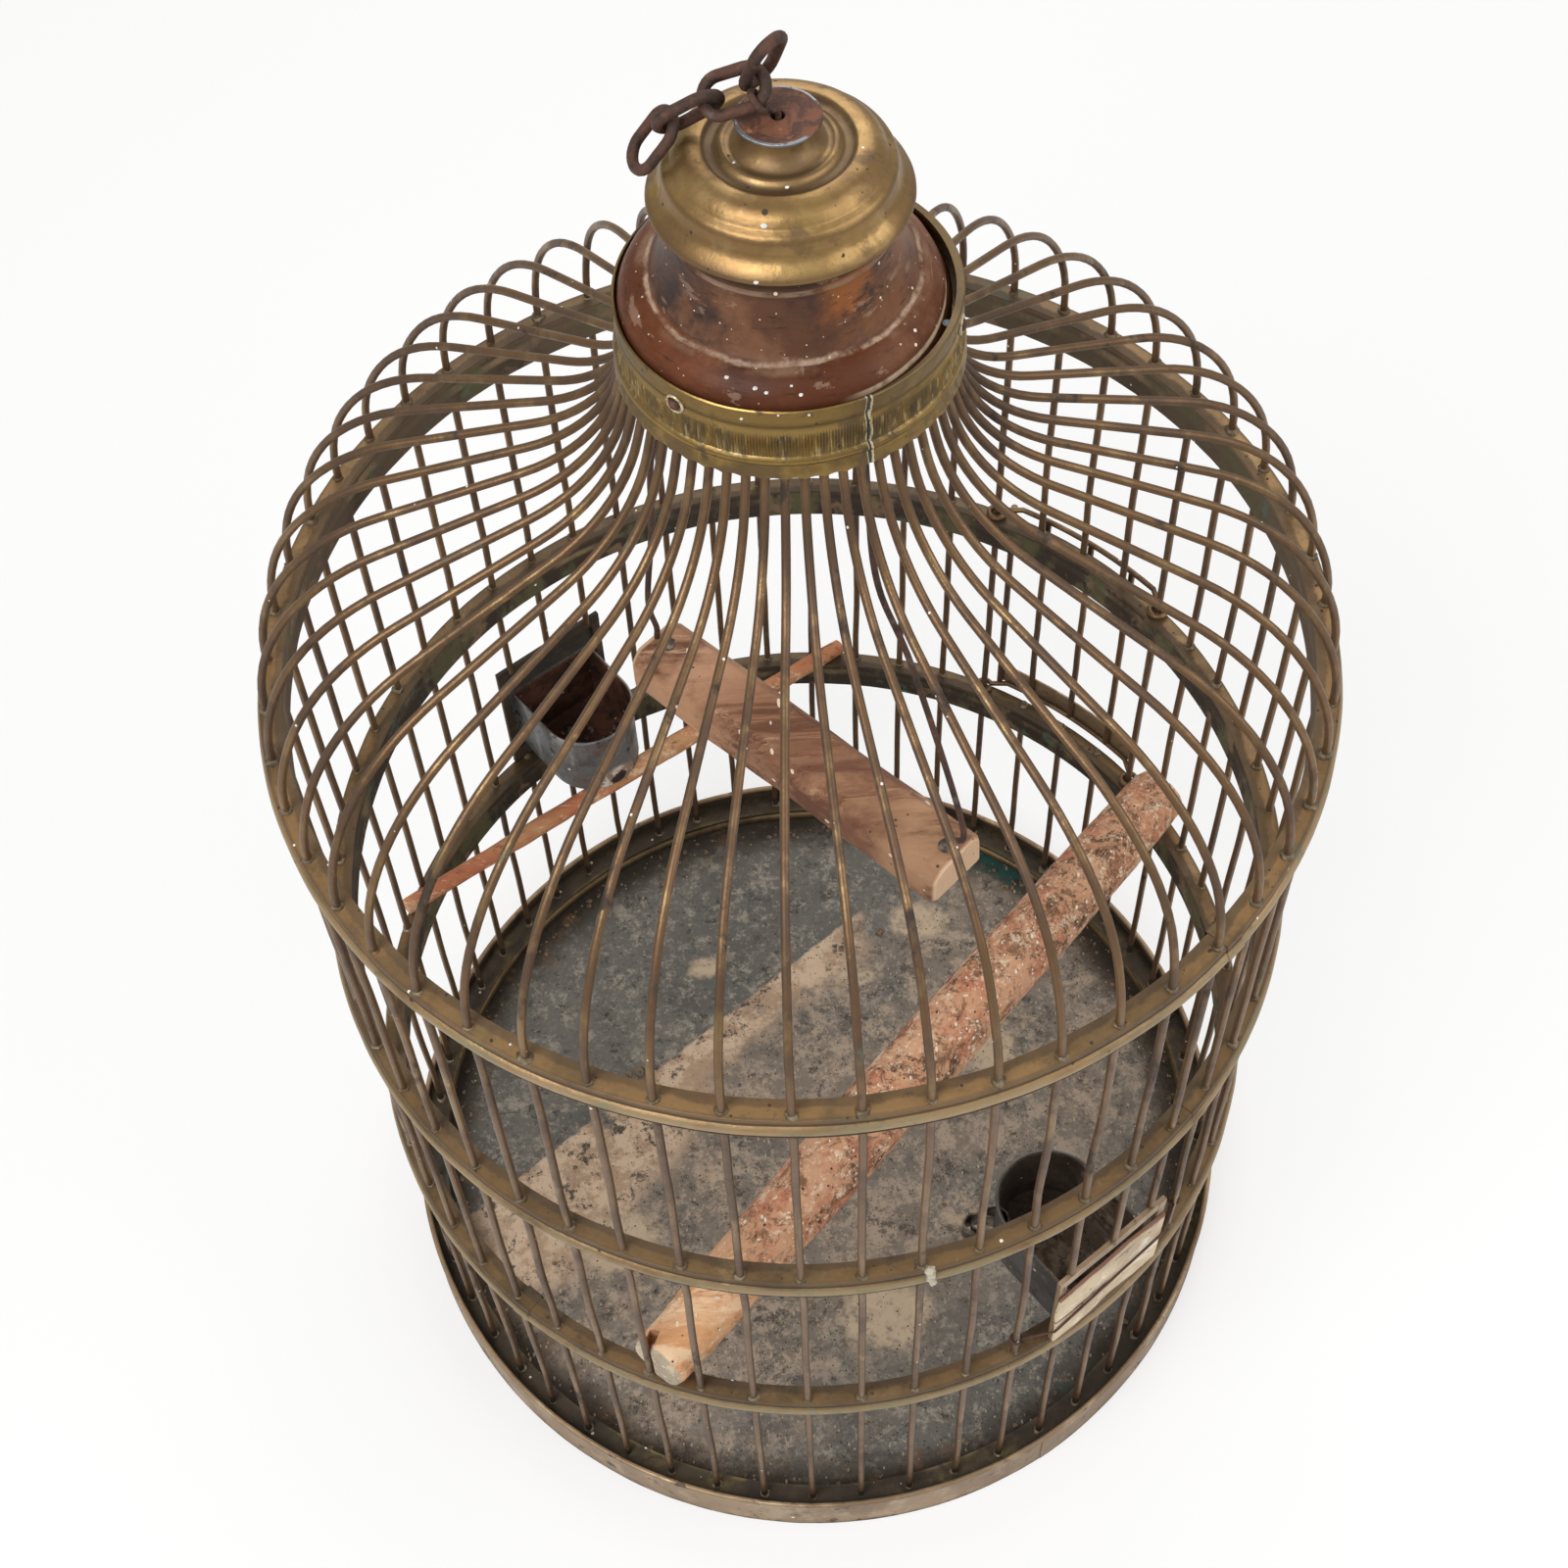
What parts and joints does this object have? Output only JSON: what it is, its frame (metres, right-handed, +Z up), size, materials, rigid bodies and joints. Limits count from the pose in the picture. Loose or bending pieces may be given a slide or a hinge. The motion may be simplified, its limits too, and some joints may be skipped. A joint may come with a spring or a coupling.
{
  "type": "bird cage",
  "caption": "Round domed wire bird cage with folded brass hoops, a turned wood finial and chain, lift door, feeding hatches, swing and perches.",
  "frame": {"origin": "middle of the foot rim, on the ground it stands on", "axes": "+Z up along the cage's axis; -Y towards the picture's camera; +X to the picture's right"},
  "size_m": [0.3948, 0.3948, 0.6755],
  "materials": {
    "brass_wire": "brown patina with worn gold highlights",
    "brass_sheet": "olive-brown tarnish",
    "cap_brass": "handled, half polished",
    "turned_wood": "worn dark stain",
    "rusty_iron": "rusty",
    "zinc_sheet": "dull galvanised, stained",
    "painted_plate": "old cream paint",
    "swing_wood": "split, weathered",
    "log_wood": "peeled bark",
    "stick_wood": "peeled, pecked"
  },
  "bodies": {
    "cage": {"bars_left_of_door": "brass_wire", "bars_left": "brass_wire", "bars_front_left": "brass_wire", "bars_front": "brass_wire", "bars_front_right": "brass_wire", "bars_right": "brass_wire", "door_lower_bars": "brass_wire", "door_upper_bars": "brass_wire", "front_feeder_lower_bars": "brass_wire", "front_feeder_upper_bars": "brass_wire", "rear_feeder_lower_bars": "brass_wire", "rear_feeder_upper_bars": "brass_wire", "base_band": "brass_sheet", "floor_sheet": "zinc_sheet", "base_ledge": "brass_sheet", "base_bead": "brass_sheet", "lower_hoop": "brass_sheet", "middle_hoop": "brass_sheet", "shoulder_hoop": "brass_sheet", "collar_band": "brass_sheet", "collar_ring": "brass_sheet", "wood_block": "turned_wood", "brass_cap": "cap_brass", "cap_washer": "rusty_iron", "eye_bolt": "rusty_iron", "front_feeder_frame": "brass_sheet", "front_feeder_cup": "zinc_sheet", "front_feeder_plate": "painted_plate", "tie_wire": "rusty_iron", "rear_feeder_frame": "brass_sheet", "swing_eye_left": "rusty_iron", "swing_eye_right": "rusty_iron", "log_perch": "log_wood", "thin_perch": "stick_wood"},
    "door": {"door_rail": "brass_sheet", "door_wires": "brass_wire", "door_side_rods": "brass_wire", "door_bottom_rod": "brass_wire", "door_top_rod": "brass_wire"},
    "rear_cup": {"rear_feeder_cup": "zinc_sheet", "rear_feeder_plate": "zinc_sheet"},
    "swing": {"swing_bar": "swing_wood", "swing_wire_left": "rusty_iron", "swing_wire_right": "rusty_iron"},
    "link_b": {"chain_link_b": "rusty_iron"},
    "link_a": {"chain_link_a": "rusty_iron"},
    "link_c": {"chain_link_c": "rusty_iron"},
    "link_d": {"chain_link_d": "rusty_iron"}
  },
  "joints": [
    {"name": "door_lift", "type": "slide", "parent": "cage", "child": "door", "axis": [0, 0, 1], "range_m": [0, 0.105]},
    {"name": "rear_cup_pull", "type": "slide", "parent": "cage", "child": "rear_cup", "axis": [-0.5972, 0.8021, 0], "range_m": [0, 0.05]},
    {"name": "swing_pivot", "type": "hinge", "parent": "cage", "child": "swing", "pos_m": [0, 0, 0.566], "axis": [0.7108, -0.7034, 0], "range_deg": [-35, 35]},
    {"name": "link_b_in_eye", "type": "hinge", "parent": "cage", "child": "link_b", "pos_m": [-0.00529, -0.00123, 0.65691], "axis": [0.8063, 0.1199, 0.5792], "range_deg": [-5, 40]},
    {"name": "link_a_on_b", "type": "hinge", "parent": "link_b", "child": "link_a", "pos_m": [-0.00499, 0.00551, 0.66214], "axis": [0.7412, -0.6591, -0.1276], "range_deg": [-40, 6]},
    {"name": "link_c_on_b", "type": "hinge", "parent": "link_b", "child": "link_c", "pos_m": [-0.0205, 0.00424, 0.65345], "axis": [-0.1279, 0.8214, 0.5558], "range_deg": [-4, 30]},
    {"name": "link_d_on_c", "type": "hinge", "parent": "link_c", "child": "link_d", "pos_m": [-0.03303, 0.00331, 0.64607], "axis": [0.3889, 0.5592, -0.7322], "range_deg": [-6, 12]}
  ]
}
